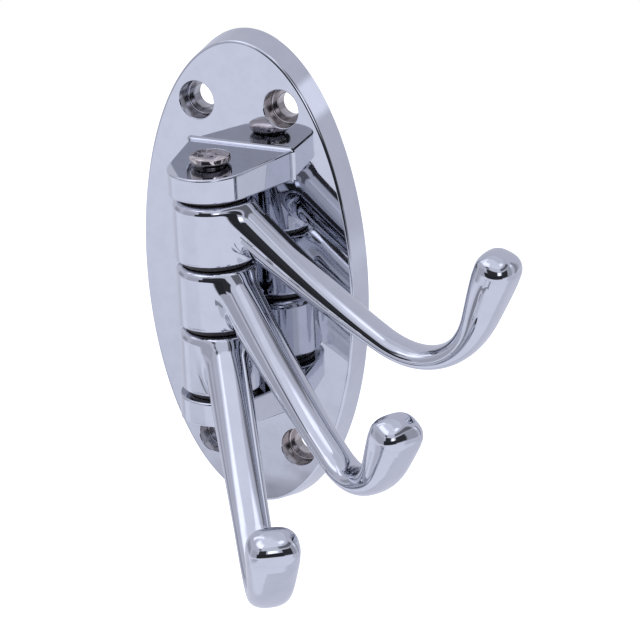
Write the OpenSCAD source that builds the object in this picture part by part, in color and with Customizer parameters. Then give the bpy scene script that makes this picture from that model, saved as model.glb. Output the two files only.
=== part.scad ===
// Swivel coat hook: an oval wall plate with two lugs, an upright pin and three hook arms.
// The origin is the middle of the plate's back face. -Y points away from the wall, +Z is up.

/* [Back plate] */
// Height of the plate at its back face
plate_h = 124.5; // [110:0.5:150]
// Width of the plate at its back face
plate_w = 61; // [54:1:80]
// Thickness of the plate, wall to mirror face
plate_t = 7.4; // [6.5:0.1:10]
// How far the left and right sides lean in from back to front
side_draft = 0.6; // [0.2:0.05:2]
// How far the top and bottom lean in from back to front
end_draft = 1.45; // [0.2:0.05:3]
// Radius of the rounded edge round the mirror face
plate_edge_r = 0.7; // [0.4:0.1:1.6]
// Squareness of the oval: 2 is an ellipse, more is fuller
oval_power = 2.0; // [2:0.05:2.4]
// Thickness of the skin behind the mirror face, in front of the relieved back
plate_skin = 3.6; // [2.8:0.1:4.5]
// Width of the rim that bears on the wall
plate_rim = 3.0; // [2:0.1:5]

/* [Screw holes] */
// Distance between the two holes of a pair, side to side
hole_dx = 24; // [20:0.5:28]
// Distance between the upper and the lower pair
hole_dz = 89; // [82:0.5:94]
// Diameter of the recess for a screw head
recess_d = 9.7; // [8.5:0.1:11]
// Depth of the recess
recess_depth = 4.2; // [2:0.1:5]
// Diameter of the through hole
screw_hole_d = 6.2; // [4.5:0.1:7]
// Wall of the boss round a screw hole, behind the plate
boss_wall = 2.2; // [1.5:0.1:3]

/* [Lugs] */
// Distance from the mirror face to the pin's axis
pin_reach = 14.8; // [14:0.1:20]
// Radius of the lug's round nose
nose_r = 10.9; // [9:0.1:12]
// Half the width of a lug where it meets the plate
lug_root_half = 14.6; // [12:0.1:17]
// Thickness of a lug at its nose
lug_t = 6.2; // [4:0.1:8]
// Extra thickness of a lug where it meets the plate
lug_draft = 0.9; // [0:0.1:2]
// Height of the middle of the arms' stack above the middle of the plate
stack_rise = 0.6; // [0:0.1:3]

/* [Pin] */
// Diameter of the shank
pin_d = 6; // [5:0.1:8]
// Diameter of the domed head
head_d = 10.3; // [9:0.1:14]
// Thickness of the head's rim
head_rim_t = 1.0; // [0.6:0.1:2]
// Height of the dome above the rim
head_dome_h = 1.1; // [0.6:0.1:2]
// Diameter of the neck under the head
neck_d = 7.5; // [6.5:0.1:8.8]
// Height of the neck
neck_h = 1.5; // [0.6:0.1:3]
// Diameter of the closed tail under the lower lug
tail_d = 8.4; // [7:0.1:11]
// Height of the closed tail
tail_h = 1.3; // [0.8:0.1:2]
// Clearance on radius between the shank and a lug
lug_fit = 0.03; // [0.02:0.01:0.1]

/* [Barrels and washers] */
// Radius of a barrel
barrel_r = 10.1; // [9.2:0.1:12]
// Height of a barrel
barrel_h = 15.6; // [12:0.1:22]
// Radius of a barrel's rounded upper shoulder
shoulder_r = 2.2; // [1:0.1:3]
// Radius of a barrel's lower edge
foot_r = 0.8; // [0.3:0.1:2]
// Clearance on radius between the shank and a barrel
barrel_fit = 0.06; // [0.03:0.01:0.1]
// Thickness of a washer
washer_t = 1.1; // [0.6:0.1:2.5]
// Diameter of a washer
washer_d = 17; // [12:0.5:18]
// Free play above and below each barrel
play = 0.06; // [0.03:0.01:0.15]

/* [Arm sections] */
// Width of an arm at its root, side to side
root_w = 11.2; // [8:0.1:12]
// Depth of an arm at its root
root_deep = 10.6; // [7:0.1:12]
// Width of the stem at its slimmest
stem_w = 9.2; // [6:0.1:10]
// Depth of the stem at its slimmest
stem_deep = 5.4; // [4.5:0.1:8]
// Width of the rounded tip
tip_w = 12.9; // [9:0.1:16]
// Depth of the rounded tip
tip_deep = 10.6; // [8:0.1:14]
// Squareness of the stem's section: 2 is an ellipse, more is fuller
stem_power = 2.2; // [2:0.1:3]
// Squareness of the tip's section
tip_power = 2.7; // [2:0.1:3.5]
// How deep the start of an arm's middle line lies inside its barrel
root_sink = 4.1; // [2:0.1:6]

/* [Upper arm] */
// Turn of the upper arm from straight out, towards the right
upper_swing = 91.5; // [-95:0.5:95]
// Slope of the upper arm's stem at its root, below level
upper_droop = 40.5; // [36:0.5:46]
// Length of the upper arm's stem
upper_stem = 48; // [40:0.5:56]
// Length of the upper arm's bend along its middle
upper_bend = 33.7; // [26:0.1:38]
// Length of the upper arm's upturned tip past its bend
upper_tip = 17.5; // [12:0.5:24]

/* [Middle arm] */
// Turn of the middle arm from straight out, towards the right
middle_swing = 66; // [-95:0.5:95]
// Slope of the middle arm's stem at its root, below level
middle_droop = 47; // [42:0.5:50]
// Length of the middle arm's stem
middle_stem = 52.5; // [44:0.5:60]
// Length of the middle arm's bend along its middle
middle_bend = 25.4; // [20:0.1:32]
// Length of the middle arm's upturned tip past its bend
middle_tip = 13.5; // [9:0.5:18]

/* [Lower arm] */
// Turn of the lower arm from straight out, towards the right
lower_swing = 38.5; // [-95:0.5:95]
// Slope of the lower arm's stem at its root, below level
lower_droop = 49.5; // [44:0.5:52]
// Length of the lower arm's stem
lower_stem = 57; // [50:0.5:64]
// Length of the lower arm's bend along its middle
lower_bend = 26.6; // [20:0.1:34]
// Length of the lower arm's upturned tip past its bend
lower_tip = 16; // [9:0.5:18]

/* [All arms] */
// How much a stem levels out between its root and its bend
stem_ease = 9.5; // [0:0.5:14]
// Angle that the bend turns through
bend_turn = 99.5; // [80:0.5:115]
// Height of the arm's middle line above its barrel's middle, at the start of the stem
root_rise = 4.3; // [0:0.1:6]

/* [Hidden] */

$fn = 96;
chrome = [0.80, 0.81, 0.87];
steel = [0.62, 0.58, 0.56];
dark_nylon = [0.12, 0.11, 0.12];
eps = 0.01;
// Steps of a rounded edge, and points round the oval
edge_steps = 5;
oval_steps = 96;
// Steps of the pin's domed head and tail
dome_steps = 8;
// Shares of an arm's length where it stops narrowing, and where it starts and stops swelling
narrow_end = 0.5;
swell_start = 0.59;
swell_end = 0.93;
// How late the swelling comes on
swell_power = 1.6;
// Length of the tip's rounded cap as a share of the tip's depth, its fullness, and the
// angle at which its rings stop, just short of a point
cap_share = 0.45;
cap_power = 0.8;
cap_stop = 88;
// Rings along an arm, and round its tip, and points round a ring
arm_rings = 28;
tip_rings = 7;
ring_points = 24;

// The pin's axis, the heights of the stack and the pitch of the barrels
pin_y = -(plate_t + pin_reach);
gap_h = washer_t + 2 * play;
pitch = barrel_h + gap_h;
stack_half = (3 * barrel_h + 4 * gap_h) / 2;
lug_low_z = stack_rise - stack_half;
lug_high_z = stack_rise + stack_half;
barrel_z = [stack_rise + pitch, stack_rise, stack_rise - pitch];
// The pin's seats on the sloping lugs: flat, and level with the slope at the seat's outer edge
lug_slope = lug_draft / pin_reach;
head_seat_z = lug_high_z + lug_t + lug_slope * (nose_r - neck_d / 2);
tail_seat_z = lug_low_z - lug_t - lug_slope * (nose_r - tail_d / 2);
// The arm's middle line starts this far from the pin's axis
arm_start = barrel_r - root_sink;
// Room that an arm leaves round the lugs and the barrels above and below its own
neighbour_gap = 0.6;

function oval(half_w, half_h, n = oval_steps) = [
    for (i = [0:n - 1])
        let (a = 360 * i / n, c = cos(a), s = sin(a))
        [half_w * sign(c) * pow(abs(c), 2 / oval_power),
         half_h * sign(s) * pow(abs(s), 2 / oval_power)]
];

// A solid through closed rings of equally many points, with flat ends
module loft(rings) {
    n = len(rings[0]);
    m = len(rings);
    points = [for (ring = rings) for (p = ring) p];
    sides = [
        for (j = [0:m - 2]) for (i = [0:n - 1]) for (half = [0, 1])
            let (k = (i + 1) % n, a = j * n + i, b = j * n + k, c = a + n, d = b + n)
            half == 0 ? [a, b, d] : [a, d, c]
    ];
    first_end = [for (i = [0:n - 1]) n - 1 - i];
    last_end = [for (i = [0:n - 1]) (m - 1) * n + i];
    polyhedron(points, concat([first_end], sides, [last_end]));
}

// Ring of the plate at a distance y in front of the wall. The draft has drawn it in by
// the share lean of its whole, and the rounded edge by inset.
// It runs the other way round than the oval, so that the loft's faces point outwards.
function plate_ring(y, lean, inset = 0) = [
    for (p = oval(plate_w / 2 - side_draft * lean - inset, plate_h / 2 - end_draft * lean - inset))
        [-p[0], -y, p[1]]
];

module plate_body() {
    side_t = plate_t - plate_edge_r;
    round_rings = [
        for (i = [1:edge_steps])
            let (a = 90 * i / edge_steps)
            plate_ring(side_t + plate_edge_r * sin(a), 1, plate_edge_r * (1 - cos(a)))
    ];
    loft(concat([plate_ring(0, 0), plate_ring(side_t / 2, 0.5), plate_ring(side_t, 1)], round_rings));
}

module at_holes() {
    for (x = [-hole_dx / 2, hole_dx / 2])
        for (z = [-hole_dz / 2, hole_dz / 2])
            translate([x, 0, z]) rotate([90, 0, 0]) children();
}

// One lug seen from above: tangent flanks from the plate to the round nose
module lug_plan() {
    root = [lug_root_half, -plate_t];
    // The lug is rooted half way through the plate's skin
    rooted_y = -plate_t + plate_skin / 2;
    reach = norm([root[0], pin_reach]);
    // The flank from the root's corner touches the nose circle here
    turn = atan2(pin_reach, root[0]) - acos(nose_r / reach);
    touch = [nose_r * cos(turn), nose_r * sin(turn) + pin_y];
    translate([0, pin_y]) circle(nose_r);
    polygon([root, touch, [0, pin_y], [-touch[0], touch[1]], [-root[0], root[1]],
             [-root[0], rooted_y], [root[0], rooted_y]]);
}

module upper_lug() {
    lean = atan(lug_draft / pin_reach);
    difference() {
        translate([0, 0, lug_high_z])
            linear_extrude(lug_t + 2 * lug_draft) lug_plan();
        // The sloping top: thickest at the plate
        translate([0, pin_y - nose_r, lug_high_z + lug_t])
            rotate([lean, 0, 0])
                translate([-plate_w, -plate_t, 0]) cube([2 * plate_w, plate_h, plate_t]);
    }
}

module both_lugs() {
    upper_lug();
    translate([0, 0, 2 * stack_rise]) mirror([0, 0, 1]) upper_lug();
}

module back_plate() color(chrome) {
    relief_depth = plate_t - plate_skin;
    boss_r = recess_d / 2 + boss_wall;
    difference() {
        union() {
            difference() {
                plate_body();
                difference() {
                    rotate([90, 0, 0]) translate([0, 0, -eps])
                        linear_extrude(relief_depth + eps)
                            polygon(oval(plate_w / 2 - plate_rim, plate_h / 2 - plate_rim));
                    at_holes() cylinder(h = plate_t, r = boss_r);
                }
            }
            both_lugs();
        }
        at_holes() translate([0, 0, -plate_t]) cylinder(h = 3 * plate_t, d = screw_hole_d);
        at_holes() translate([0, 0, plate_t - recess_depth]) cylinder(h = plate_t, d = recess_d);
        translate([0, pin_y, 0]) {
            translate([0, 0, lug_low_z - plate_h / 2]) cylinder(h = 2 * plate_h, d = pin_d + 2 * lug_fit);
            // Flat seats for the neck above and the closed tail below
            translate([0, 0, head_seat_z]) cylinder(h = lug_t, d = neck_d + 2 * lug_fit);
            translate([0, 0, tail_seat_z - lug_t]) cylinder(h = lug_t, d = tail_d + 2 * lug_fit);
        }
    }
}

module pivot_pin() color(steel) {
    neck_top = head_seat_z + neck_h;
    dome = [for (i = [0:dome_steps]) let (a = 90 * i / dome_steps)
        [head_d / 2 * cos(a), head_dome_h * sin(a)]];
    tail = [for (i = [0:dome_steps]) let (a = 90 * i / dome_steps)
        [tail_d / 2 * cos(a), -tail_h * sin(a)]];
    translate([0, pin_y, 0])
        rotate_extrude() polygon(concat(
            [for (i = [0:dome_steps]) tail[dome_steps - i] + [0, tail_seat_z]],
            [[pin_d / 2, tail_seat_z], [pin_d / 2, head_seat_z], [neck_d / 2, head_seat_z],
             [neck_d / 2, neck_top], [head_d / 2, neck_top]],
            [for (p = dome) p + [0, neck_top + head_rim_t]]
        ));
}

// Barrel with its rounded upper shoulder and lower edge, middle at height zero
module barrel() {
    top = barrel_h / 2;
    foot = [for (i = [0:edge_steps]) let (a = 90 * i / edge_steps)
        [barrel_r - foot_r + foot_r * sin(a), -top + foot_r - foot_r * cos(a)]];
    shoulder = [for (i = [0:edge_steps]) let (a = 90 * i / edge_steps)
        [barrel_r - shoulder_r + shoulder_r * cos(a), top - shoulder_r + shoulder_r * sin(a)]];
    rotate_extrude() polygon(concat([[0, -top]], foot, shoulder, [[0, top]]));
}

function smooth(u) = (u * u * (3 - 2 * u) + u) / 2;

// Slope of an arm's middle line at a distance s along it
function slope_at(s, droop, stem, bend) =
    -droop + stem_ease * min(s, stem) / stem + bend_turn * smooth(min(max((s - stem) / bend, 0), 1));

// Points of the middle line, one at each distance in the list
function middle_line(at, droop, stem, bend, i = 0, p = [arm_start, 0]) =
    i == len(at) - 1 ? [p] :
    let (step = at[i + 1] - at[i], a = slope_at((at[i] + at[i + 1]) / 2, droop, stem, bend))
    concat([p], middle_line(at, droop, stem, bend, i + 1, p + step * [cos(a), sin(a)]));

// How far an arm has narrowed from root to stem, and swollen from stem to tip, at a share f
// of its length
function narrowed(f) = smooth(min(f / narrow_end, 1));
function swollen(f) =
    pow(smooth(min(max((f - swell_start) / (swell_end - swell_start), 0), 1)), swell_power);
function section(f, root, stem, tip) = root + (stem - root) * narrowed(f) + (tip - stem) * swollen(f);

// A sine or cosine bent so that its ring has the squareness of the power
function squared(v, power) = sign(v) * pow(abs(v), 2 / power);

// An arm in the plane x = 0, running out along -Y from the pin's axis
module arm_sweep(droop, stem, bend, tip) {
    length = stem + bend + tip;
    cap = tip_deep * cap_share;
    cap_angles = [for (i = [1:tip_rings]) cap_stop * i / tip_rings];
    at = concat([for (i = [0:arm_rings - 1]) (length - cap) * i / (arm_rings - 1)],
                [for (a = cap_angles) length - cap + cap * sin(a)]);
    shrink = concat([for (i = [1:arm_rings]) 1], [for (a = cap_angles) pow(cos(a), cap_power)]);
    line = middle_line(at, droop, stem, bend);
    rings = [
        for (i = [0:len(at) - 1])
            let (a = slope_at(at[i], droop, stem, bend), f = at[i] / length,
                 power = section(f, stem_power, stem_power, tip_power),
                 w = section(f, root_w, stem_w, tip_w) * shrink[i] / 2,
                 h = section(f, root_deep, stem_deep, tip_deep) * shrink[i] / 2)
            [for (k = [0:ring_points - 1])
                let (t = 360 * k / ring_points,
                     across = w * squared(sin(t), power), up = h * squared(cos(t), power))
                [across, -(line[i][0] - up * sin(a)), line[i][1] + up * cos(a)]]
    ];
    loft(rings);
}

module arm(index, swing, droop, stem, bend, tip) color(chrome) {
    clear_r = max(barrel_r, nose_r) + neighbour_gap;
    translate([0, pin_y, barrel_z[index]]) rotate([0, 0, swing])
        difference() {
            union() {
                barrel();
                difference() {
                    translate([0, 0, root_rise]) arm_sweep(droop, stem, bend, tip);
                    // The root stays level with its own barrel, clear of its neighbours
                    translate([0, 0, barrel_h / 2]) cylinder(h = barrel_h, r = clear_r);
                    translate([0, 0, -1.5 * barrel_h]) cylinder(h = barrel_h, r = clear_r);
                }
            }
            cylinder(h = 2 * barrel_h, d = pin_d + 2 * barrel_fit, center = true);
        }
}

module arm_upper() arm(0, upper_swing, upper_droop, upper_stem, upper_bend, upper_tip);
module arm_middle() arm(1, middle_swing, middle_droop, middle_stem, middle_bend, middle_tip);
module arm_lower() arm(2, lower_swing, lower_droop, lower_stem, lower_bend, lower_tip);

// Washer number i, counted from the top
module washer(i) color(dark_nylon)
    translate([0, pin_y, lug_high_z - play - washer_t - (i - 1) * pitch])
        difference() {
            cylinder(h = washer_t, d = washer_d);
            translate([0, 0, -washer_t]) cylinder(h = 3 * washer_t, d = pin_d + 2 * barrel_fit);
        }

back_plate();
pivot_pin();
arm_upper();
arm_middle();
arm_lower();
washer(1);  // washer_1
washer(2);  // washer_2
washer(3);  // washer_3
washer(4);  // washer_4
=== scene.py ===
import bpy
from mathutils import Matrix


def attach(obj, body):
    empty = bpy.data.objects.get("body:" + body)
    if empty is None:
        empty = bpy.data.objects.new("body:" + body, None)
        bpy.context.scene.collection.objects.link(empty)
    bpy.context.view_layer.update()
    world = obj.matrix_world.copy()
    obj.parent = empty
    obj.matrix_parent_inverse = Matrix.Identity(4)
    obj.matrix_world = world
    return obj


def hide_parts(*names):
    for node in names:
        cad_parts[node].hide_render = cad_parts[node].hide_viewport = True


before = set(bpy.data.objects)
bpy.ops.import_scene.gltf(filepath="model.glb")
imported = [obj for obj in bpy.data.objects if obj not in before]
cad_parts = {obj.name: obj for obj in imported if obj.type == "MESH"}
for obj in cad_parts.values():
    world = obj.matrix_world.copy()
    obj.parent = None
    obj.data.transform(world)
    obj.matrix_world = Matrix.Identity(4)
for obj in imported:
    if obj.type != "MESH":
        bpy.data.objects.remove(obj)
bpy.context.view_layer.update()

# Swivel coat hook: the chromed castings, the pin and the washers, with their finishes.
# Sizes are in millimetres until a mesh is made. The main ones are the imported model's.

import math

import bmesh
import bpy
import numpy as np
from mathutils import Matrix

MM = 0.001
# Keeps divisions off zero
TINY = 1e-12

# Back plate
PLATE_H = 124.5
PLATE_W = 61.0
PLATE_T = 7.4
SIDE_DRAFT = 0.6
END_DRAFT = 1.45
FACE_EDGE_R = 0.7
BACK_EDGE_R = 0.3
SKIN = 3.6
RIM = 3.0

# Screw holes
HOLE_DX = 24.0
HOLE_DZ = 89.0
RECESS_R = 4.85
RECESS_DEPTH = 4.2
HOLE_R = 3.1
BOSS_WALL = 2.2
RECESS_LIP_R = 0.28
RECESS_FOOT_R = 0.45
HOLE_LIP_R = 0.2
# Flat rings round the holes' mouths, as part of the face and of the back
FACE_COLLAR = 0.6
BACK_COLLAR = 0.5

# Lugs
PIN_REACH = 14.8
NOSE_R = 10.9
LUG_ROOT_HALF = 14.6
LUG_T = 6.2
LUG_DRAFT = 0.9
LUG_EDGE_R = 0.55
LUG_FILLET = 0.95
LUG_FIT = 0.03

# Pin, barrels and washers
PIN_R = 3.0
HEAD_R = 5.15
HEAD_RIM_T = 1.0
HEAD_DOME_H = 1.1
NECK_R = 3.75
NECK_H = 1.5
NECK_FOOT_R = 0.15
# The head's underside hangs down to the neck by the sag, is flat next to it, and rounds
# into the rim, which leans out a little
HEAD_SAG = 0.95
UNDER_CORNER_R = 0.1
UNDER_FLAT = 0.6
UNDER_R = 0.4
RIM_R = 0.5
RIM_LEAN = 0.05
TAIL_R = 4.2
TAIL_H = 1.3
BARREL_R = 10.1
BARREL_H = 15.6
SHOULDER_R = 2.2
FOOT_R = 0.8
BARREL_FIT = 0.06
WASHER_T = 1.1
WASHER_R = 8.5
WASHER_BORE_R = 0.15
WASHER_EDGE_R = 0.3
PLAY = 0.06
STACK_RISE = 0.6
WASHERS = 4

# Arms: width, depth and squareness of the section at the root, along the stem and at the tip
ROOT = (11.2, 10.6, 2.2)
STEM = (9.2, 5.4, 2.2)
TIP = (12.9, 10.6, 2.7)
NARROW_END = 0.5
SWELL_START = 0.59
SWELL_END = 0.93
SWELL_POWER = 1.6
CAP_SHARE = 0.45
CAP_POWER = 0.8
ROOT_SINK = 4.1
ROOT_RISE = 4.3
STEM_EASE = 9.5
BEND_TURN = 99.5
NEIGHBOUR_GAP = 0.6
# Name, body, place in the stack, swing, droop, and the lengths of stem, bend and tip
ARMS = [
    ("upper", "upper_hook", 1, 91.5, 40.5, 48.0, 33.7, 17.5),
    ("middle", "middle_hook", 0, 66.0, 47.0, 52.5, 25.4, 13.5),
    ("lower", "lower_hook", -1, 38.5, 49.5, 57.0, 26.6, 16.0),
]
# Widths over which an arm blends into its barrel, and its root into the level cut
BLEND = 2.4
LEVEL_BLEND = 0.5
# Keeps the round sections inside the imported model's polygons
TRIM = 0.996
# The parting line starts this far outside the barrel, and where there is none the points
# are marked as this far from it
SEAM_START = 3.0
NO_SEAM = 5.0

# Fineness of the meshes: points round a circle or the oval, steps in a quarter turn,
# degrees along the relief, and the grid for the arms
OVAL_POINTS = 288
BORE_POINTS = 72
TURNED_POINTS = 96
BACK_EDGE_STEPS = 4
FACE_EDGE_STEPS = 12
EDGE_STEPS = 6
FILLET_STEPS = 8
DOME_STEPS = 16
RELIEF_STEP = 1.5
GRID_STEP = 0.45
# This small shift keeps the grid's planes off the arms' own planes
GRID_SHIFT = 0.013

# Values that follow from the sizes
PIN_Y = -(PLATE_T + PIN_REACH)
GAP_H = WASHER_T + 2 * PLAY
PITCH = BARREL_H + GAP_H
STACK_HALF = (len(ARMS) * BARREL_H + WASHERS * GAP_H) / 2
LUG_HIGH_Z = STACK_RISE + STACK_HALF
LUG_SLOPE = LUG_DRAFT / PIN_REACH
SLOPE_NORMAL = np.array([0, -LUG_SLOPE, 1.0]) / math.hypot(LUG_SLOPE, 1.0)
HEAD_SEAT_Z = LUG_HIGH_Z + LUG_T + LUG_SLOPE * (NOSE_R - NECK_R)
TAIL_SEAT_Z = 2 * STACK_RISE - (LUG_HIGH_Z + LUG_T + LUG_SLOPE * (NOSE_R - TAIL_R))
HOLES = [(x, z) for x in (-HOLE_DX / 2, HOLE_DX / 2) for z in (-HOLE_DZ / 2, HOLE_DZ / 2)]
# Material slots of the plate's casting, in the order in which it gets them
BRIGHT = 0
SATIN = 1


# Meshes

def unit(v):
    v = np.asarray(v, float)
    return v / np.maximum(np.linalg.norm(v, axis=-1, keepdims=True), TINY)


def quarter(steps):
    """Angles from 0 to 90 degrees, in radians."""
    return [math.radians(90 * k / steps) for k in range(steps + 1)]


class Shell:
    """Faces with a normal at each corner, joined where their points are the same."""

    def __init__(self):
        self.points = []
        self.known = {}
        self.faces = []
        self.normals = []
        self.materials = []
        self.material = BRIGHT

    def point(self, p):
        key = (round(float(p[0]), 4), round(float(p[1]), 4), round(float(p[2]), 4))
        if key not in self.known:
            self.known[key] = len(self.points)
            self.points.append(key)
        return self.known[key]

    def face(self, corners, normals):
        """A face that looks the way its normals do. One that has shrunk to a line is left out."""
        ids = [self.point(p) for p in corners]
        keep = [k for k in range(len(ids)) if ids[k] != ids[k - 1]]
        if len(keep) < 3 or len(set(ids[k] for k in keep)) < len(keep):
            return
        p = np.array([corners[k] for k in keep], float)
        n = np.array([normals[k] for k in keep], float)
        area = np.cross(p[1] - p[0], p[2] - p[0])
        if len(keep) == 4:
            area = np.cross(p[2] - p[0], p[3] - p[1])
        if area @ n.sum(0) < 0:
            keep = keep[::-1]
        self.faces.append([ids[k] for k in keep])
        self.normals.extend(list(unit(normals[k])) for k in keep)
        self.materials.append(self.material)

    def strip(self, rings, normals, closed=True):
        """Quads between rings of equally many points."""
        count = len(rings[0])
        for j in range(len(rings) - 1):
            for i in range(count if closed else count - 1):
                k = (i + 1) % count
                self.face([rings[j][i], rings[j][k], rings[j + 1][k], rings[j + 1][i]],
                          [normals[j][i], normals[j][k], normals[j + 1][k], normals[j + 1][i]])

    def flat(self, loops, normal):
        """A flat face inside the first loop, open at the others."""
        bm = bmesh.new()
        originals = []
        edges = []
        for loop in loops:
            verts = [bm.verts.new([float(c) for c in p]) for p in loop]
            originals.extend(loop)
            edges.extend(bm.edges.new((verts[i - 1], verts[i])) for i in range(len(verts)))
        bm.verts.index_update()
        made = bmesh.ops.triangle_fill(bm, use_beauty=True, edges=edges, normal=normal)
        for face in made["geom"]:
            if isinstance(face, bmesh.types.BMFace):
                self.face([originals[v.index] for v in face.verts], [normal] * len(face.verts))
        bm.free()

    def build(self, name, materials):
        return make_object(name, np.array(self.points), self.faces, self.normals,
                           materials, self.materials)


def make_object(name, points, faces, corner_normals, materials, face_materials=None):
    mesh = bpy.data.meshes.new(name)
    mesh.from_pydata((np.asarray(points) * MM).tolist(), [], faces)
    mesh.polygons.foreach_set("use_smooth", [True] * len(faces))
    for material in materials:
        mesh.materials.append(material)
    if face_materials is not None:
        mesh.polygons.foreach_set("material_index", face_materials)
    mesh.update()
    mesh.normals_split_custom_set(corner_normals)
    piece = bpy.data.objects.new(name, mesh)
    bpy.context.scene.collection.objects.link(piece)
    return piece


def rounded(corners, steps=EDGE_STEPS):
    """A line of (radius, height) through corners (radius, height, rounding), each point
    with the normal to the left of the way it runs."""
    line = []
    pts = [np.array(c[:2], float) for c in corners]
    for i, corner in enumerate(corners):
        before = unit(pts[i] - pts[i - 1]) if i > 0 else None
        after = unit(pts[i + 1] - pts[i]) if i < len(pts) - 1 else None
        ways = [w for w in (before, after) if w is not None]
        if len(ways) == 1 or corner[2] == 0:
            line.extend((*pts[i], -w[1], w[0]) for w in ways)
            continue
        turn = math.atan2(before[0] * after[1] - before[1] * after[0], before @ after)
        tangent = corner[2] * abs(math.tan(turn / 2))
        start = pts[i] - before * tangent
        side = 1 if turn > 0 else -1
        centre = start + side * corner[2] * np.array([-before[1], before[0]])
        for k in range(steps + 1):
            a = turn * k / steps
            c, s = math.cos(a), math.sin(a)
            way = np.array([c * before[0] - s * before[1], s * before[0] + c * before[1]])
            normal = np.array([-way[1], way[0]])
            line.append((*(centre - side * corner[2] * normal), *normal))
    return line


def revolve(shell, centre, line, upright=True, count=TURNED_POINTS):
    """Turns a rounded line about an upright axis, or about one along Y, at the centre."""
    turn = np.linspace(0, 2 * math.pi, count, endpoint=False)
    c, s = np.cos(turn), np.sin(turn)
    rings = []
    normals = []
    for r, a, nr, na in line:
        if upright:
            rings.append(np.stack([centre[0] + r * c, centre[1] + r * s, np.full(count, a)], 1))
            normals.append(np.stack([nr * c, nr * s, np.full(count, na)], 1))
        else:
            rings.append(np.stack([centre[0] + r * c, np.full(count, a), centre[1] + r * s], 1))
            normals.append(np.stack([nr * c, np.full(count, na), nr * s], 1))
    shell.strip(rings, normals)
    return rings


# Back plate with its lugs

def oval(half_w, half_h, y):
    t = np.linspace(0, 2 * math.pi, OVAL_POINTS, endpoint=False)
    return np.stack([half_w * np.cos(t), np.full(len(t), y), half_h * np.sin(t)], 1)


def plate_ring(y, lean, inset):
    return oval(PLATE_W / 2 - SIDE_DRAFT * lean - inset, PLATE_H / 2 - END_DRAFT * lean - inset, y)


def plate_outside(shell):
    """The drafted side with its two rounded edges. Returns the rings that bound the faces."""
    side_t = PLATE_T - FACE_EDGE_R
    down = plate_ring(-side_t, 1, 0) - plate_ring(0, 0, 0)
    along = np.roll(plate_ring(0, 0, 0), -1, 0) - np.roll(plate_ring(0, 0, 0), 1, 0)
    side = unit(np.cross(down, along))
    side *= np.sign((side * plate_ring(0, 0, 0)).sum(1))[:, None]
    out = np.array([0, -1.0, 0])
    rings = []
    normals = []
    for a in quarter(BACK_EDGE_STEPS):
        y = -BACK_EDGE_R * (1 - math.cos(a))
        rings.append(plate_ring(y, -y / side_t, BACK_EDGE_R * (1 - math.sin(a))))
        normals.append(unit(side * math.sin(a) - out * math.cos(a)))
    for a in quarter(FACE_EDGE_STEPS):
        y = -side_t - FACE_EDGE_R * math.sin(a)
        rings.append(plate_ring(y, 1, FACE_EDGE_R * (1 - math.cos(a))))
        normals.append(unit(side * math.cos(a) + out * math.sin(a)))
    shell.strip(rings, normals)
    return rings[0], rings[-1]


def relief_angles(boss_r):
    """Even steps, and two close together where each side of a boss meets the oval."""
    beside = 1e-4
    angles = [math.radians(a) for a in np.arange(0, 360, RELIEF_STEP)]
    for x, z in HOLES:
        middle = math.atan2(z, x) % (2 * math.pi)
        spread = math.asin(boss_r / math.hypot(x, z))
        for side in (-1, 1):
            angles.extend([middle + side * spread, middle + side * (spread - beside)])
    return sorted(angles)


def relief_loop():
    """Edge of the hollow back: an oval that goes round the screw bosses, each of which is
    webbed to the rim behind it."""
    half_w = PLATE_W / 2 - RIM
    half_h = PLATE_H / 2 - RIM
    boss_r = RECESS_R + BOSS_WALL
    loop = []
    for a in relief_angles(boss_r):
        c, s = math.cos(a), math.sin(a)
        reach = 1 / math.hypot(c / half_w, s / half_h)
        for x, z in HOLES:
            along = x * c + z * s
            aside = abs(x * s - z * c)
            if along > 0 and aside < boss_r:
                reach = min(reach, along - math.sqrt(boss_r ** 2 - aside ** 2))
        loop.append((reach * c, reach * s))
    return loop


def creased(loop, limit=0.8):
    """The normals of a flat loop's edges at both their ends, smooth where it bends little."""
    p = np.array(loop)
    way = unit(np.roll(p, -1, 0) - p)
    normal = np.stack([-way[:, 1], way[:, 0]], 1)
    mixed = unit(normal + np.roll(normal, 1, 0))
    soft = (normal * np.roll(normal, 1, 0)).sum(1) > limit
    first = np.where(soft[:, None], mixed, normal)
    last = np.where(np.roll(soft, -1)[:, None], np.roll(mixed, -1, 0), normal)
    return first, last


def screw_holes(shell):
    """The stepped holes. Returns the rings where they meet the face and the back."""
    floor_y = -(PLATE_T - RECESS_DEPTH)
    line = rounded([(RECESS_R + FACE_COLLAR, -PLATE_T, 0), (RECESS_R, -PLATE_T, RECESS_LIP_R),
                    (RECESS_R, floor_y, RECESS_FOOT_R), (HOLE_R, floor_y, HOLE_LIP_R),
                    (HOLE_R, 0, HOLE_LIP_R), (HOLE_R + BACK_COLLAR, 0, 0)])
    holes = [revolve(shell, hole, line, upright=False, count=BORE_POINTS) for hole in HOLES]
    return [rings[0] for rings in holes], [rings[-1] for rings in holes]


def plate(shell):
    """The plate in chrome, with its hollow back in the satin of the casting."""
    back_edge, face_edge = plate_outside(shell)
    face_holes, back_holes = screw_holes(shell)
    shell.flat([face_edge] + face_holes, (0, -1, 0))
    shell.material = SATIN
    loop = relief_loop()
    depth = -(PLATE_T - SKIN)
    lip = [(x, 0.0, z) for x, z in loop]
    bed = [(x, depth, z) for x, z in loop]
    first, last = creased(loop)
    for i in range(len(loop)):
        k = (i + 1) % len(loop)
        a = (first[i][0], 0.0, first[i][1])
        b = (last[i][0], 0.0, last[i][1])
        shell.face([lip[i], lip[k], bed[k], bed[i]], [a, b, b, a])
    shell.flat([back_edge, lip] + back_holes, (0, 1, 0))
    shell.flat([bed], (0, 1, 0))
    shell.material = BRIGHT


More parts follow.
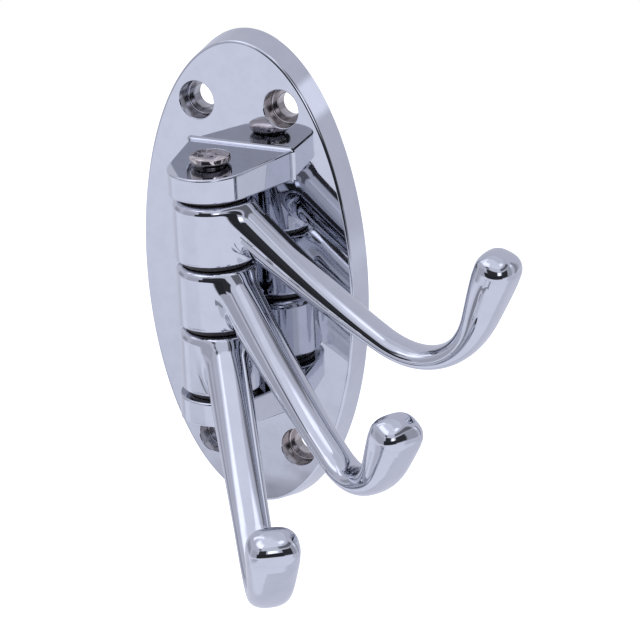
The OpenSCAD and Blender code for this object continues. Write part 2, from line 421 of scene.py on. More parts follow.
def lug_outline():
    """Plan of a lug from its right root round the nose to its left root: place and normal."""
    turn = math.atan2(PIN_REACH, LUG_ROOT_HALF) \
        - math.acos(NOSE_R / math.hypot(LUG_ROOT_HALF, PIN_REACH))
    n = np.array([math.cos(turn), math.sin(turn)])
    touch = NOSE_R * n + [0, PIN_Y]
    root = np.array([LUG_ROOT_HALF, -PLATE_T])
    rooted = root + (root - touch) * (SKIN / 2) / (root[1] - touch[1])
    right = [(*rooted, *n), (*root, *n)]
    nose = []
    for k in range(BORE_POINTS + 1):
        a = turn - (math.pi + 2 * turn) * k / BORE_POINTS
        nose.append((NOSE_R * math.cos(a), NOSE_R * math.sin(a) + PIN_Y, math.cos(a), math.sin(a)))
    left = [(-x, y, -nx, ny) for x, y, nx, ny in right[::-1]]
    return np.array(right + nose + left)


def lug_top(y):
    """Height of the upper lug's sloping face."""
    return LUG_HIGH_Z + LUG_T + LUG_SLOPE * (y - (PIN_Y - NOSE_R))


class Side:
    """Leaves the upper lug as it is, or turns it over about the middle of the stack."""

    def __init__(self, lower):
        self.lower = lower

    def place(self, points):
        points = np.array(points, float)
        if self.lower:
            points[..., 2] = 2 * STACK_RISE - points[..., 2]
        return points

    def facing(self, normals):
        normals = np.array(normals, float)
        if self.lower:
            normals[..., 2] = -normals[..., 2]
        return normals


def lug_flank(shell, side):
    """The upright side with its rounded edges. Returns the rings that bound the two faces."""
    out = lug_outline()
    flatways = np.column_stack([out[:, 2:], np.zeros(len(out))])
    rings = []
    normals = []
    for a in quarter(EDGE_STEPS):
        xy = out[:, :2] - LUG_EDGE_R * (1 - math.sin(a)) * out[:, 2:]
        z = np.full(len(out), LUG_HIGH_Z + LUG_EDGE_R * (1 - math.cos(a)))
        rings.append(side.place(np.column_stack([xy, z])))
        normals.append(side.facing(unit(flatways * math.sin(a) - [0, 0, math.cos(a)])))
    for a in quarter(EDGE_STEPS):
        xy = out[:, :2] - LUG_EDGE_R * (1 - math.cos(a)) * out[:, 2:]
        z = lug_top(xy[:, 1]) - LUG_EDGE_R * (1 - math.sin(a))
        rings.append(side.place(np.column_stack([xy, z])))
        normals.append(side.facing(unit(flatways * math.cos(a) + SLOPE_NORMAL * math.sin(a))))
    shell.strip(rings, normals, closed=False)
    # The end that is buried in the plate
    shell.flat([[ring[0] for ring in rings] + [ring[-1] for ring in rings[::-1]]], (0, 1, 0))
    return rings[0], rings[-1]


def lug_bore(shell, side, seat_r, seat_z):
    """The pin's bore, and the flat seat cut into the slope round it. Returns the rings where
    they meet the two faces."""
    turn = np.linspace(0, 2 * math.pi, BORE_POINTS, endpoint=False)
    around = np.stack([np.cos(turn), np.sin(turn), np.zeros(BORE_POINTS)], 1)

    def circle(radius, height=None):
        ring = around * radius + [0, PIN_Y, 0]
        ring[:, 2] = lug_top(ring[:, 1]) if height is None else height
        return side.place(ring)

    seat = side.place((0, 0, seat_z))[2]
    mouth = circle(PIN_R + LUG_FIT, LUG_HIGH_Z)
    end = circle(PIN_R + LUG_FIT, seat)
    seat_edge = circle(seat_r, seat)
    seat_lip = circle(seat_r)
    inward = side.facing(-around)
    up = side.facing(np.tile([0, 0, 1.0], (BORE_POINTS, 1)))
    shell.strip([mouth, end], [inward, inward])
    shell.strip([end, seat_edge], [up, up])
    shell.strip([seat_edge, seat_lip], [inward, inward])
    return mouth, seat_lip


def fillet_ring(a, flank):
    """The fillet's ring at an angle from the lug's side to the plate's face, with normals."""
    rise = LUG_FILLET * (1 - math.sin(a))
    corner = LUG_EDGE_R + LUG_FILLET * (1 - math.cos(a))
    y = -PLATE_T - rise
    half = LUG_ROOT_HALF - rise * flank - LUG_EDGE_R
    high = lug_top(y) - LUG_EDGE_R
    low = LUG_HIGH_Z + LUG_EDGE_R
    middles = [(half, high), (-half, high), (-half, low), (half, low)]
    ring = []
    normal = []
    for quadrant, (x, z) in enumerate(middles):
        for t in quarter(EDGE_STEPS):
            t += quadrant * math.pi / 2
            ring.append((x + corner * math.cos(t), y, z + corner * math.sin(t)))
            wall = np.array([math.cos(t), 0, math.sin(t)])
            normal.append(wall * math.cos(a) - [0, math.sin(a), 0])
    return ring, unit(normal)


def lug_fillet(shell, side):
    """The concave fillet round the foot of a lug, closed inside the metal."""
    root, touch = lug_outline()[1:3, :2]
    flank = (root[0] - touch[0]) / (root[1] - touch[1])
    rings = []
    normals = []
    for a in quarter(FILLET_STEPS):
        ring, normal = fillet_ring(a, flank)
        rings.append(side.place(ring))
        normals.append(side.facing(normal))
    shell.strip(rings, normals)
    shell.flat([rings[0]], (0, -1, 0))
    buried = rings[-1] + [0, SKIN / 4, 0]
    shell.strip([rings[-1], buried], [normals[0], normals[0]])
    shell.flat([buried], (0, 1, 0))


def lug(shell, lower, seat_r, seat_z):
    """One lug. The lower one is the upper one turned over, but for the size of its seat."""
    side = Side(lower)
    bottom, top = lug_flank(shell, side)
    mouth, seat_lip = lug_bore(shell, side, seat_r, seat_z)
    shell.flat([bottom, mouth], tuple(side.facing([0, 0, -1.0])))
    shell.flat([top, seat_lip], tuple(side.facing(SLOPE_NORMAL)))
    lug_fillet(shell, side)


# Arms

def smooth(u):
    """From 0 to 1, halfway between an even rise and one that starts and ends gently."""
    return (u * u * (3 - 2 * u) + u) / 2


def smooth_min(a, b, width):
    """The smaller of two distances, blended over a width where they are nearly the same."""
    h = np.maximum(width - np.abs(a - b), 0) / width
    return np.minimum(a, b) - h * h * width / 4


def smooth_max(a, b, width):
    return -smooth_min(-a, -b, width)


class ArmForm:
    """Distance to one arm's surface. Points are (aside, out from the pin, up from the
    middle of the barrel)."""

    line_step = 0.1
    lead = 12.0
    first_look = 4
    at_once = 20000

    def __init__(self, droop, stem, bend, tip):
        self.length = stem + bend + tip
        self.cap = TIP[1] * CAP_SHARE
        self.s = np.arange(-self.lead, self.length + self.lead, self.line_step)
        s = np.clip(self.s, 0, self.length)
        self.slope = np.radians(-droop + STEM_EASE * np.minimum(s, stem) / stem
                                + BEND_TURN * smooth(np.clip((s - stem) / bend, 0, 1)))
        mid = (self.slope[1:] + self.slope[:-1]) / 2
        r = np.concatenate([[0], np.cumsum(np.cos(mid))]) * self.line_step
        z = np.concatenate([[0], np.cumsum(np.sin(mid))]) * self.line_step
        start = int(round(self.lead / self.line_step))
        self.r = r - r[start] + BARREL_R - ROOT_SINK
        self.z = z - z[start] + ROOT_RISE
        self.reach = (self.r.max(), self.z.min(), self.z[start:-start].max())

    def section(self, f, k):
        """Width, depth or squareness, for k of 0, 1 or 2, at a share f of the length."""
        narrowed = smooth(np.clip(f / NARROW_END, 0, 1))
        swollen = smooth(np.clip((f - SWELL_START) / (SWELL_END - SWELL_START), 0, 1)) ** SWELL_POWER
        return ROOT[k] + (STEM[k] - ROOT[k]) * narrowed + (TIP[k] - STEM[k]) * swollen

    def look(self, r, z):
        """A first guess at the nearest point, among a few of the line's points."""
        guess = np.empty(r.size, int)
        for i in range(0, r.size, self.at_once):
            dr = r.ravel()[i:i + self.at_once, None] - self.r[None, ::self.first_look]
            dz = z.ravel()[i:i + self.at_once, None] - self.z[None, ::self.first_look]
            guess[i:i + self.at_once] = (dr * dr + dz * dz).argmin(1) * self.first_look
        return guess.reshape(r.shape)

    def nearest(self, r, z, guess=None):
        """Index of the middle line's nearest point."""
        if guess is None:
            guess = self.look(r, z)
        for _ in range(3):
            along = (r - self.r[guess]) * np.cos(self.slope[guess]) \
                + (z - self.z[guess]) * np.sin(self.slope[guess])
            steps = np.round(along / self.line_step).astype(int)
            guess = np.clip(guess + steps, 0, len(self.s) - 1)
        return guess

    def sweep(self, x, r, z, near):
        """Distance to the swept stem, bend and tip: how far the squared section's level is
        from 1, over how fast it grows. The cap closes the tip by the same rule."""
        a = self.slope[near]
        dr, dz = r - self.r[near], z - self.z[near]
        s = self.s[near] + dr * np.cos(a) + dz * np.sin(a)
        up = np.abs(-dr * np.sin(a) + dz * np.cos(a))
        f = np.clip(s / self.length, 0, 1)
        w = self.section(f, 0) / 2 * TRIM
        h = self.section(f, 1) / 2 * TRIM
        p = self.section(f, 2)
        u, v = np.abs(x) / w + 1e-9, up / h + 1e-9
        rho = (u ** p + v ** p) ** (1 / p)
        rho_grad2 = rho ** (2 - 2 * p) * ((u ** (p - 1) / w) ** 2 + (v ** (p - 1) / h) ** 2)
        q = np.maximum(s - (self.length - self.cap), 0) / (self.cap * TRIM)
        e = 2 / CAP_POWER
        total = rho ** e + q * q
        g = total ** (1 / e)
        g_rho = total ** (1 / e - 1) * rho ** (e - 1)
        g_q = total ** (1 / e - 1) * 2 * q / e / self.cap
        d = (g - 1) / np.sqrt(g_rho ** 2 * rho_grad2 + g_q ** 2 + TINY)
        return np.maximum(d, -s)

    def distance(self, x, r, z, near):
        """Distance to the barrel and the sweep, blended, with the pin's bore taken out."""
        out = np.hypot(x, r)
        top = BARREL_H / 2
        rounding = np.where(z > 0, SHOULDER_R, FOOT_R)
        dx = out - BARREL_R + rounding
        dz = np.abs(z) - top + rounding
        barrel = np.minimum(np.maximum(dx, dz), 0) \
            + np.hypot(np.maximum(dx, 0), np.maximum(dz, 0)) - rounding
        d = smooth_min(barrel, self.sweep(x, r, z, near), BLEND)
        # Level with the barrel above and below, clear of its neighbours
        clear_r = max(BARREL_R, NOSE_R) + NEIGHBOUR_GAP
        level = np.minimum(clear_r - out, np.abs(z) - top)
        d = smooth_max(d, level, LEVEL_BLEND)
        return np.maximum(d, PIN_R + BARREL_FIT - out)

    def gradient(self, p, near):
        eps = 0.01
        parts = []
        for axis in range(3):
            ends = []
            for sign in (1, -1):
                q = p.copy()
                q[:, axis] += sign * eps
                ends.append(self.distance(q[:, 0], q[:, 1], q[:, 2], near))
            parts.append((ends[0] - ends[1]) / (2 * eps))
        return np.stack(parts, 1)


def surface_net(values, low, step):
    """Quads round the zero level of a grid of distances."""
    inside = values < 0
    shape = np.array(values.shape)
    total = np.zeros((*(shape - 1), 3))
    count = np.zeros(shape - 1)
    corners = []
    for axis in range(3):
        unit_step = np.eye(3, dtype=int)[axis]
        first, second = (axis + 1) % 3, (axis + 2) % 3
        span = [slice(None)] * 3
        span[axis] = slice(0, -1)
        ahead = [slice(None)] * 3
        ahead[axis] = slice(1, None)
        edges = np.argwhere(inside[tuple(span)] != inside[tuple(ahead)])
        for other in (first, second):
            edges = edges[(edges[:, other] > 0) & (edges[:, other] < shape[other] - 1)]
        v0 = values[tuple(edges.T)]
        v1 = values[tuple((edges + unit_step).T)]
        crossing = edges + (v0 / (v0 - v1))[:, None] * unit_step
        around = []
        for a, b in ((1, 1), (0, 1), (0, 0), (1, 0)):
            cell = edges - a * np.eye(3, dtype=int)[first] - b * np.eye(3, dtype=int)[second]
            np.add.at(total, tuple(cell.T), crossing)
            np.add.at(count, tuple(cell.T), 1)
            around.append(cell)
        around = np.stack(around, 1)
        around[v0 > 0] = around[v0 > 0][:, ::-1]
        corners.append(around)
    corners = np.concatenate(corners)
    used = np.argwhere(count > 0)
    ids = np.full(tuple(shape - 1), -1)
    ids[tuple(used.T)] = np.arange(len(used))
    points = total[tuple(used.T)] / count[tuple(used.T)][:, None] * step + low
    return points, ids[tuple(corners.reshape(-1, 3).T)].reshape(-1, 4)


def off_seam(form, points, near):
    """How far each point is from the middle of the section's depth, where the mould parted.
    The barrel and the tip's cap have no parting line."""
    slope = form.slope[near]
    off = (points[:, 2] - form.z[near]) * np.cos(slope) \
        - (points[:, 1] - form.r[near]) * np.sin(slope)
    barrel = np.hypot(points[:, 0], points[:, 1]) < BARREL_R + SEAM_START
    cap = form.s[near] > form.length - form.cap
    return np.where(barrel | cap, NO_SEAM, off)


def arm_net(form):
    """A net of quads round the arm's form, cut on an even grid."""
    reach, lowest, highest = form.reach
    aside = BARREL_R + 1
    margin = 7.0
    low = (-aside, -aside, lowest - margin)
    high = (aside, reach + margin, max(highest, BARREL_H / 2) + margin)
    axes = [np.arange(a, b, GRID_STEP) + GRID_SHIFT for a, b in zip(low, high)]
    r, z = np.meshgrid(axes[1], axes[2], indexing="ij")
    near = form.nearest(r, z)
    shape = (len(axes[0]), *near.shape)
    values = form.distance(np.broadcast_to(axes[0][:, None, None], shape), np.broadcast_to(r, shape),
                           np.broadcast_to(z, shape), np.broadcast_to(near, shape))
    return surface_net(values, np.array([a[0] for a in axes]), GRID_STEP)


def settle(form, points):
    """Moves the net's points onto the form. Returns them and their nearest line points."""
    longest_move = 0.2
    least_slope = 0.5
    near = form.nearest(points[:, 1], points[:, 2])
    for _ in range(4):
        d = form.distance(points[:, 0], points[:, 1], points[:, 2], near)
        g = form.gradient(points, near)
        move = d / np.maximum((g * g).sum(1), least_slope ** 2)
        points = points - np.clip(move, -longest_move, longest_move)[:, None] * g
        near = form.nearest(points[:, 1], points[:, 2], near)
    return points, near


def arm(name, place, swing, droop, stem, bend, tip, materials):
    """One hook with its barrel, turned to its place on the pin."""
    form = ArmForm(droop, stem, bend, tip)
    points, faces = arm_net(form)
    points, near = settle(form, points)
    normals = unit(form.gradient(points, near))
    marks = off_seam(form, points, near)
    turn = math.radians(swing)
    aside = (math.cos(turn), math.sin(turn), 0)
    out = (math.sin(turn), -math.cos(turn), 0)
    axes = np.array([aside, out, (0, 0, 1)])
    points = points @ axes + [0, PIN_Y, STACK_RISE + place * PITCH]
    normals = normals @ axes
    # The local axes are left-handed, so the faces turn round
    faces = faces[:, ::-1]
    piece = make_object("hook_" + name, points, faces.tolist(), normals[faces.ravel()].tolist(),
                        materials)
    piece.data.attributes.new("off_seam", "FLOAT", "POINT").data.foreach_set("value", marks)
    return piece


# Pin and washers

def outward(line):
    """The same line with its normals turned to its other side."""
    return [(r, a, -nr, -na) for r, a, nr, na in line]


def dome(radius, rise, base):
    """A low dome from its edge to its crown, downward where the rise is negative."""
    line = []
    for a in quarter(DOME_STEPS):
        n = unit([math.cos(a) / radius, math.sin(a) / rise])
        line.append((radius * math.cos(a), base + rise * math.sin(a), *n))
    return line


def pin(materials):
    """The rivet pin: shank, neck, head with a rounded underside, and closed tail."""
    shell = Shell()
    centre = (0, PIN_Y)
    rim_low = HEAD_SEAT_Z + NECK_H
    rim_top = rim_low + HEAD_RIM_T
    under = rim_low - HEAD_SAG
    shank = rounded([(PIN_R, TAIL_SEAT_Z, 0), (PIN_R, HEAD_SEAT_Z, 0),
                     (NECK_R, HEAD_SEAT_Z, NECK_FOOT_R), (NECK_R, under, UNDER_CORNER_R),
                     (NECK_R + UNDER_FLAT, under, UNDER_R), (HEAD_R - RIM_LEAN, rim_low, RIM_R),
                     (HEAD_R, rim_top, 0)])
    revolve(shell, centre, outward(shank))
    revolve(shell, centre, [(HEAD_R, rim_top, 1, 0)] + dome(HEAD_R, HEAD_DOME_H, rim_top))
    revolve(shell, centre, [(PIN_R, TAIL_SEAT_Z, 0, 1), (TAIL_R, TAIL_SEAT_Z, 0, 1)])
    revolve(shell, centre, dome(TAIL_R, -TAIL_H, TAIL_SEAT_Z))
    return shell.build("pin", materials)


def washer(number, materials):
    """One washer, counted from the top of the stack."""
    low = LUG_HIGH_Z - PLAY - WASHER_T - (number - 1) * PITCH
    high = low + WASHER_T
    bore = PIN_R + BARREL_FIT
    middle = (bore, (low + high) / 2, 0)
    line = rounded([middle, (bore, low, WASHER_BORE_R), (WASHER_R, low, WASHER_EDGE_R),
                    (WASHER_R, high, WASHER_EDGE_R), (bore, high, WASHER_BORE_R), middle], steps=4)
    shell = Shell()
    revolve(shell, (0, PIN_Y), outward(line))
    return shell.build("washer_ring_%d" % number, materials)


# Materials. Noise scales are per metre, and bump depths in metres.

CHROME = (0.615, 0.63, 0.68)
CLOUDED_CHROME = tuple(0.955 * c for c in CHROME)
CLOUD_SCALE = 260.0
SMEAR_SCALE = 2600.0
SMEAR_ROUGHNESS = 0.035
CLOUD_ROUGHNESS = 0.025
WAVE_SCALE = 55.0
PLATE_ROUGHNESS = 0.03
PLATE_WAVES = 0.00006
ARM_ROUGHNESS = 0.045
ARM_WAVES = 0.00008

# Thin plating in the screw recesses, with a painted reflection: cool in the left ones and warm in
# the right ones. It fades over these distances beyond the recess's wall and below the face.
COOL_PAINTED_REFLECTION_HAZE = (0.50, 0.51, 0.56)
WARM_PAINTED_REFLECTION_HAZE = (0.58, 0.53, 0.52)
BARE_PATCH = (0.40, 0.38, 0.39)
PAINTED_REFLECTION_TURN = 5
RECESS_ROUGHNESS = 0.14
FADE_OUT = (0.15, 0.35)
FADE_DOWN = (0.15, 0.5)

# Parting line: how far it wanders, the half width over which it fades, and how the polish
# broke it up
SEAM_WANDER = 0.5
SEAM_FADE = (0.10, 0.30)
SEAM_BREAKS_SCALE = 90.0
SEAM_BREAKS = (0.44, 0.52)
SEAM_DEPTH = 0.7

NICKEL = (0.68, 0.62, 0.60)
WORN_NICKEL = (0.52, 0.46, 0.45)
NECK_PAINTED_SHADE = (0.13, 0.12, 0.125)
WEAR_SCALE = 420.0
DENT_SCALE = 270.0
DENT_DEPTH = 0.0011
NECK_ROUGHNESS = 0.12
# Heights about the head's rim between which the painted shade under the head ends
NECK_SHADE_FADE = (-0.2, 0.3)

SATIN_DARK = (0.42, 0.42, 0.44)
SATIN_PALE = (0.56, 0.56, 0.59)
SATIN_SCALE = 120.0
GRAIN_SCALE = 1400.0
GRAIN_DEPTH = 0.00015
GRAIN_STRENGTH = 0.35

NYLON_DARK = (0.030, 0.028, 0.031)
NYLON_PALE = (0.055, 0.050, 0.054)
NYLON_SCALE = 700.0
# The turning marks are a wave of this many radians per metre, next to the cloud of the bump
MARKS_RATE = 26000.0
MARKS_SHARE = 0.3
MARKS_DEPTH = 0.00003
MARKS_STRENGTH = 0.3


class Graph:
    """Short ways to add and join nodes."""

    def __init__(self, tree):
        self.tree = tree
        tree.nodes.clear()

    def node(self, kind, settings=None, **inputs):
        node = self.tree.nodes.new(kind)
        for key, value in (settings or {}).items():
            setattr(node, key, value)
        for key, value in inputs.items():
            self.set(node.inputs[key.replace("_", " ")], value)
        return node

    def set(self, socket, value):
        if isinstance(value, bpy.types.NodeSocket):
            self.tree.links.new(value, socket)
        else:
            socket.default_value = value

    def math(self, operation, a, b=0.0, c=0.0, clamp=False):
        node = self.node("ShaderNodeMath", {"operation": operation, "use_clamp": clamp})
        for socket, value in zip(node.inputs, (a, b, c)):
            self.set(socket, value)
        return node.outputs[0]

    def mix(self, factor, a, b):
        """A mix of two colours, through the node's numbered sockets for colours."""
        node = self.node("ShaderNodeMix", {"data_type": "RGBA"})
        self.set(node.inputs[0], factor)
        self.set(node.inputs[6], a)
        self.set(node.inputs[7], b)
        return node.outputs[2]

    def ramp(self, value, low, high, out_low=0.0, out_high=1.0):
        node = self.node("ShaderNodeMapRange", {"interpolation_type": "SMOOTHSTEP", "clamp": True})
        for socket, number in zip(node.inputs, (value, low, high, out_low, out_high)):
            self.set(socket, number)
        return node.outputs[0]

    def noise(self, vector, scale, detail=3.0, roughness=0.5):
        node = self.node("ShaderNodeTexNoise", Vector=vector, Scale=scale, Detail=detail,
                         Roughness=roughness)
        return node.outputs["Fac"]

    def place(self):
        """Where a point is on the part, in metres."""
        return self.node("ShaderNodeTexCoord").outputs["Object"]

    def parts(self, vector):
        return self.node("ShaderNodeSeparateXYZ", Vector=vector).outputs

    def surface(self, colour, gloss, height, depth, strength=1.0, metallic=1.0):
        """The finish of a piece: its colour, its roughness, and a bump of this depth in metres."""
        bump = self.node("ShaderNodeBump", Height=height, Strength=strength, Distance=depth)
        shader = self.node("ShaderNodeBsdfPrincipled", Base_Color=colour, Metallic=metallic,
                           Roughness=gloss, Normal=bump.outputs[0])
        self.output("ShaderNodeOutputMaterial", shader)

    def output(self, kind, shader):
        self.set(self.node(kind).inputs[0], shader.outputs[0])


def new_material(name):
    material = bpy.data.materials.new(name)
    material.use_nodes = True
    return material, Graph(material.node_tree)


def rgb(r, g, b):
    return (r, g, b, 1.0)


def near_holes(g, place):
    """1 inside the screw recesses, 0 elsewhere."""
    parts = g.parts(place)
    x = g.math("SUBTRACT", g.math("ABSOLUTE", parts[0]), HOLE_DX / 2 * MM)
    z = g.math("SUBTRACT", g.math("ABSOLUTE", parts[2]), HOLE_DZ / 2 * MM)
    reach = g.math("SQRT", g.math("ADD", g.math("MULTIPLY", x, x), g.math("MULTIPLY", z, z)))
    inside = g.ramp(reach, *((RECESS_R + out) * MM for out in FADE_OUT), 1.0, 0.0)
    sunk = g.ramp(parts[1], *(-(PLATE_T - down) * MM for down in FADE_DOWN))
    return g.math("MULTIPLY", inside, sunk)


def recess_plating_and_reflection(g, place, cloud):
    """Thin plating in the recesses, with bare patches, and a painted reflection: cool on the left,
    warm on the right.
    """
    # Painted reflection: the left recesses get a cool tint and the right ones a warm one
    across = g.ramp(g.parts(place)[0], -PAINTED_REFLECTION_TURN * MM, PAINTED_REFLECTION_TURN * MM)
    haze_and_painted_reflection = g.mix(across, rgb(*COOL_PAINTED_REFLECTION_HAZE), rgb(*WARM_PAINTED_REFLECTION_HAZE))
    return g.mix(g.ramp(cloud, 0.3, 0.7), haze_and_painted_reflection, rgb(*BARE_PATCH))


def seam(g, place):
    """The thin, broken parting line that the polish left along both sides of a hook."""
    mark = g.node("ShaderNodeAttribute", {"attribute_name": "off_seam"}).outputs["Fac"]
    wave = g.math("SUBTRACT", g.noise(place, CLOUD_SCALE, 2.0), 0.5)
    wander = g.math("MULTIPLY", wave, SEAM_WANDER)
    line = g.ramp(g.math("ADD", g.math("ABSOLUTE", mark), wander), *SEAM_FADE, 1.0, 0.0)
    broken = g.ramp(g.noise(place, SEAM_BREAKS_SCALE, 3.0, 0.6), *SEAM_BREAKS)
    return g.math("MULTIPLY", line, broken)


def chrome(name, roughness, waves, recesses=False, seams=False):
    """Bright plating: a faint cast waviness under the polish, small changes of tint and gloss."""
    material, g = new_material(name)
    place = g.place()
    cloud = g.noise(place, CLOUD_SCALE, 4.0, 0.6)
    smears = g.noise(place, SMEAR_SCALE, 3.0, 0.7)
    colour = g.mix(g.ramp(cloud, 0.35, 0.7), rgb(*CHROME), rgb(*CLOUDED_CHROME))
    gloss = g.math("ADD", g.ramp(smears, 0.45, 0.75, roughness, roughness + SMEAR_ROUGHNESS),
                   g.ramp(cloud, 0.45, 0.8, 0.0, CLOUD_ROUGHNESS))
    height = g.noise(place, WAVE_SCALE, 2.0)
    if recesses:
        dull = near_holes(g, place)
        colour = g.mix(dull, colour, recess_plating_and_reflection(g, place, cloud))
        gloss = g.math("ADD", gloss, g.math("MULTIPLY", dull, RECESS_ROUGHNESS))
    if seams:
        height = g.math("SUBTRACT", height, g.math("MULTIPLY", seam(g, place), SEAM_DEPTH))
    g.surface(colour, gloss, height, waves)
    return material


def nickel():
    """The pin: worn warm nickel on the head, duller below it and darkened there with painted shade.
    """
    material, g = new_material("nickel_pin")
    place = g.place()
    dents = g.noise(place, DENT_SCALE, 0.0)
    wear = g.noise(place, WEAR_SCALE, 4.0, 0.6)
    rim_low = HEAD_SEAT_Z + NECK_H
    # Painted shade under the head: below the rim the colour turns dark
    below = g.ramp(g.parts(place)[2], *((rim_low + up) * MM for up in NECK_SHADE_FADE), 1.0, 0.0)
    worn = g.mix(g.ramp(wear, 0.35, 0.65), rgb(*NICKEL), rgb(*WORN_NICKEL))
    colour = g.mix(below, worn, rgb(*NECK_PAINTED_SHADE))
    gloss = g.math("ADD", g.ramp(wear, 0.4, 0.75, 0.04, 0.10),
                   g.math("MULTIPLY", below, NECK_ROUGHNESS))
    g.surface(colour, gloss, dents, DENT_DEPTH)
    return material


def cast_back():
    """The unpolished hollow back: plated but satin, with the grain of the casting."""
    material, g = new_material("cast_back")
    place = g.place()
    grain = g.noise(place, GRAIN_SCALE, 5.0, 0.65)
    colour = g.mix(g.noise(place, SATIN_SCALE, 3.0), rgb(*SATIN_DARK), rgb(*SATIN_PALE))
    gloss = g.ramp(grain, 0.3, 0.7, 0.34, 0.5)
    g.surface(colour, gloss, grain, GRAIN_DEPTH, strength=GRAIN_STRENGTH)
    return material


def nylon():
    """Dark washers, with fine turning marks round their rims."""
    material, g = new_material("washer_nylon")
    place = g.place()
    cloud = g.noise(place, NYLON_SCALE, 4.0)
    marks = g.math("SINE", g.math("MULTIPLY", g.parts(place)[2], MARKS_RATE))
    colour = g.mix(cloud, rgb(*NYLON_DARK), rgb(*NYLON_PALE))
    gloss = g.ramp(cloud, 0.3, 0.7, 0.38, 0.52)
    height = g.math("ADD", cloud, g.math("MULTIPLY", marks, MARKS_SHARE))
    g.surface(colour, gloss, height, MARKS_DEPTH, strength=MARKS_STRENGTH, metallic=0.0)
    return material


# Stage

FLOOR_Z = -0.45
FLOOR_HALF = 1.6
FLOOR_CELLS = 8
FLOOR_SEEN = (0.62, 0.62, 0.62)
PAPER_DARK = (0.93, 0.93, 0.94)
PAPER_PALE = (0.95, 0.95, 0.955)
LAMP_PLACE = (-0.5, -1.3, 1.7)
LAMP_SIZE = 1.4
LAMP_POWER = 22.0
CAMERA_AZIMUTH = 29.789
CAMERA_ELEVATION = 19.435
CAMERA_ROLL = -2.833
CAMERA_DISTANCE = 1.004225
CAMERA_TARGET = (0.015949, 0.0, -0.012337)
CAMERA_LENS = 225.0
CAMERA_SENSOR = 36.0
CAMERA_NEAR = 0.01
CAMERA_FAR = 50.0

# Light of the room on matt surfaces
AMBIENT = (0.62, 0.63, 0.66)

# The white studio that the chrome mirrors, set after what the photo's chrome shows.
# Each part has its limits in azimuth and elevation in degrees, the softness of its edges,
# and how bright it is against WHITE.
# Azimuth is turned from straight out of the wall to the right. Later parts cover earlier.
# GROUND is the level where no part covers, and WHITE the tint of the studio's light.
WHITE = (0.95, 0.975, 1.13)
GROUND = 0.94
STUDIO = [
    ("low back", 118, 262, -95, -15, 10, 0.76),
    ("dim ground", -75, -24, -42, -21, 5, 0.70),
    ("ground shade", -52, -12, -26, -21.75, 0.6, 0.34),
    ("right ground", 96, 262, -31, -15, 6, 0.70),
    ("walls", -200, 200, -12, 60, 3, 0.67),
    ("ceiling", -200, 200, 62, 95, 4, 0.95),
    ("back ceiling", 100, 250, 60, 83, 5, 0.76),
    ("left screen", -62, -22, -12, 25, 4, 0.54),
    ("front panel", -22, 75, 25, 52, 4, 0.78),
    ("upper panel", -25, 72, 51, 66, 3, 0.98),
    ("soft box", -70, -4, 46, 67, 6, 1.6),
    ("left strip", -92, -78, 38, 77, 3, 1.5),
    ("right strip", 70, 118, 62, 73, 3, 1.5),
    ("left gap", -102, -76, -4, 16, 5, 0.42),
    ("beam", 52, 131, 36, 51, 3, 0.18),
    ("right wall", 95, 127, -13, 33, 4, 0.46),
    ("right light", 130, 141, 16, 30, 2, 1.08),
    ("light stand", 143, 152, -15, 29, 3, 0.34),
    ("opening", -22, 60, -13.5, 11, 1.6, 0.03),
    ("opening right", 56, 98, -9, 29, 2, 0.04),
    ("camera stand", -12, 25, 8, 33, 2, 0.04),
    ("boom", -20, -4, 35, 45, 3, 0.14),
    ("key light", 31, 47, 12, 27, 3, 2.2),
]


def studio_level(g, azimuth, elevation):
    """How bright the studio is in a direction, against WHITE."""
    level = GROUND
    for _, left, right, low, high, soft, brightness in STUDIO:
        # Azimuth counted from the middle of the part, from -180 to 180
        middle = (left + right) / 2
        half = (right - left) / 2
        off = g.math("ABSOLUTE", g.math("WRAP", g.math("SUBTRACT", azimuth, middle), 180.0, -180.0))
        across = g.ramp(off, half + soft, half - soft)
        above = g.ramp(elevation, low - soft, low + soft)
        below = g.ramp(elevation, high + soft, high - soft)
        mask = g.math("MULTIPLY", across, g.math("MULTIPLY", above, below))
        level = g.math("ADD", g.math("MULTIPLY", level, g.math("SUBTRACT", 1.0, mask)),
                       g.math("MULTIPLY", mask, brightness))
    return level


def seen_directly(g, rays):
    """1 for what the camera sees, also in a mirror or through glass."""
    seen = g.math("ADD", rays["Is Camera Ray"], rays["Is Glossy Ray"])
    return g.math("ADD", seen, rays["Is Transmission Ray"], clamp=True)


def studio():
    """Plain white for the camera, the studio in mirrors, and an even light on the rest."""
    world = bpy.data.worlds.new("studio")
    bpy.context.scene.world = world
    world.use_nodes = True
    g = Graph(world.node_tree)
    way = g.node("ShaderNodeTexCoord").outputs["Generated"]
    parts = g.parts(g.node("ShaderNodeVectorMath", {"operation": "NORMALIZE"}, Vector=way).outputs[0])
    azimuth = g.math("DEGREES", g.math("ARCTAN2", parts[0], g.math("MULTIPLY", parts[1], -1.0)))
    elevation = g.math("DEGREES", g.math("ARCSINE", parts[2]))
    level = studio_level(g, azimuth, elevation)
    mirrored = g.node("ShaderNodeVectorMath", {"operation": "SCALE"}, Scale=level)
    mirrored.inputs[0].default_value = WHITE
    rays = g.node("ShaderNodeLightPath").outputs
    backdrop = g.mix(rays["Is Camera Ray"], mirrored.outputs[0], rgb(1, 1, 1))
    colour = g.mix(seen_directly(g, rays), rgb(*AMBIENT), backdrop)
    g.output("ShaderNodeOutputWorld", g.node("ShaderNodeBackground", Color=colour, Strength=1.0))


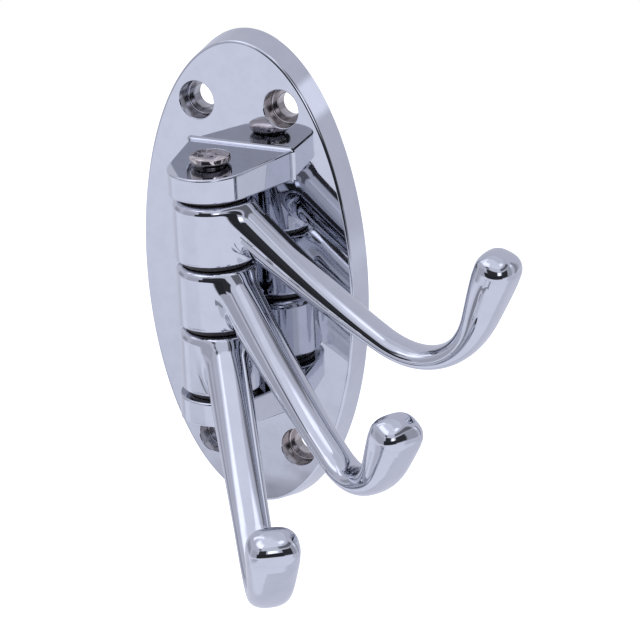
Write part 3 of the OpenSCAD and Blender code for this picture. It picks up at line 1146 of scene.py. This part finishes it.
def floor_paper():
    """Paper that keeps the object's shadow and glows a little, so that it reads as white."""
    material, g = new_material("floor_paper")
    tone = g.mix(g.noise(g.place(), 3.0), rgb(*PAPER_DARK), rgb(*PAPER_PALE))
    paper = g.node("ShaderNodeBsdfDiffuse", Color=tone)
    seen = seen_directly(g, g.node("ShaderNodeLightPath").outputs)
    glow = g.node("ShaderNodeEmission", Color=rgb(*FLOOR_SEEN), Strength=seen)
    both = g.node("ShaderNodeAddShader")
    g.set(both.inputs[0], paper.outputs[0])
    g.set(both.inputs[1], glow.outputs[0])
    g.output("ShaderNodeOutputMaterial", both)
    return material


def floor():
    """A plain floor. The chrome shows the studio's ground in its place."""
    mesh = bpy.data.meshes.new("floor")
    bm = bmesh.new()
    bmesh.ops.create_grid(bm, x_segments=FLOOR_CELLS, y_segments=FLOOR_CELLS, size=FLOOR_HALF)
    bm.to_mesh(mesh)
    bm.free()
    mesh.materials.append(floor_paper())
    plane = bpy.data.objects.new("floor", mesh)
    plane.location = (0, 0, FLOOR_Z)
    plane.visible_glossy = False
    bpy.context.scene.collection.objects.link(plane)


def lamp():
    """A soft box that aims at the part and isn't mirrored."""
    light = bpy.data.lights.new("soft_box", "AREA")
    light.shape = "DISK"
    light.size = LAMP_SIZE
    light.energy = LAMP_POWER
    piece = bpy.data.objects.new("soft_box", light)
    piece.location = LAMP_PLACE
    aim = -piece.location.normalized()
    piece.rotation_euler = aim.to_track_quat("-Z", "Y").to_euler()
    piece.visible_glossy = False
    piece.visible_camera = False
    bpy.context.scene.collection.objects.link(piece)


def camera():
    """The photo's view, fitted to the plate's oval, the holes and the lugs."""
    az, el, roll = (math.radians(a) for a in (CAMERA_AZIMUTH, CAMERA_ELEVATION, CAMERA_ROLL))
    back = np.array([math.sin(az) * math.cos(el), -math.cos(az) * math.cos(el), math.sin(el)])
    level = unit(np.cross(-back, [0, 0, 1]))
    upright = np.cross(level, -back)
    right = level * math.cos(roll) + upright * math.sin(roll)
    up = upright * math.cos(roll) - level * math.sin(roll)
    data = bpy.data.cameras.new("camera")
    data.sensor_width = CAMERA_SENSOR
    data.lens = CAMERA_LENS
    data.clip_start = CAMERA_NEAR
    data.clip_end = CAMERA_FAR
    piece = bpy.data.objects.new("camera", data)
    turn = Matrix([list(row) for row in np.stack([right, up, back], 1)]).to_4x4()
    turn.translation = [float(c) for c in np.array(CAMERA_TARGET) + CAMERA_DISTANCE * back]
    piece.matrix_world = turn
    bpy.context.scene.collection.objects.link(piece)
    bpy.context.scene.camera = piece


# The part, dressed

def dress(piece, body, node):
    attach(piece, body)
    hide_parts(node)


def casting():
    """The plate with both lugs, one mesh."""
    shell = Shell()
    plate(shell)
    lug(shell, False, NECK_R + LUG_FIT, HEAD_SEAT_Z)
    lug(shell, True, TAIL_R + LUG_FIT, TAIL_SEAT_Z)
    bright = chrome("chrome_plate", PLATE_ROUGHNESS, PLATE_WAVES, recesses=True)
    return shell.build("plate_casting", [bright, cast_back()])


def main():
    camera()
    studio()
    floor()
    lamp()
    bpy.context.scene.view_settings.view_transform = "Standard"
    dress(casting(), "mount", "back_plate")
    plating = chrome("chrome_arm", ARM_ROUGHNESS, ARM_WAVES, seams=True)
    for name, body, *sizes in ARMS:
        dress(arm(name, *sizes, [plating]), body, "arm_" + name)
    dress(pin([nickel()]), "mount", "pivot_pin")
    dark = nylon()
    for number in range(1, WASHERS + 1):
        dress(washer(number, [dark]), "mount", "washer_%d" % number)


main()
